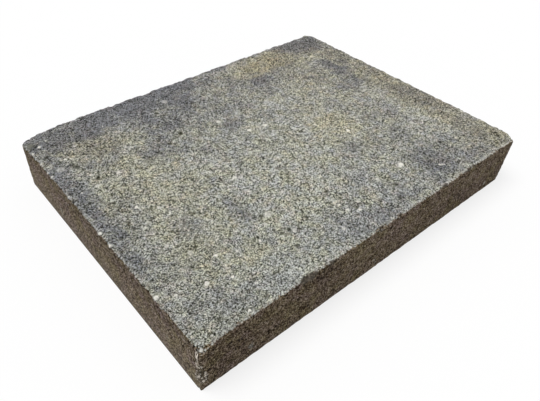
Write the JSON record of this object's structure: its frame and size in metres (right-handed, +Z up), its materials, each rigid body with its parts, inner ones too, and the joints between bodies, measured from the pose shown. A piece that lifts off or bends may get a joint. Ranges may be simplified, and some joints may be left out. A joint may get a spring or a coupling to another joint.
{
  "type": "concrete paving stone",
  "caption": "Flat rectangular concrete paving stone with a rough mottled walking face, rounded arrises and worn corners, laid on a bed as a path or patio surface.",
  "frame": {"origin": "middle of the bed face, on the ground that the stone lies on", "axes": "+X along the length, +Y along the width, +Z up through the thickness to the walking face"},
  "size_m": [0.4, 0.3, 0.052],
  "materials": {
    "concrete": "rough dry-cast concrete, mottled buff and charcoal on the walking face, plain brown on the sides"
  },
  "bodies": {
    "root": {"paving_stone": "concrete"}
  },
  "joints": []
}
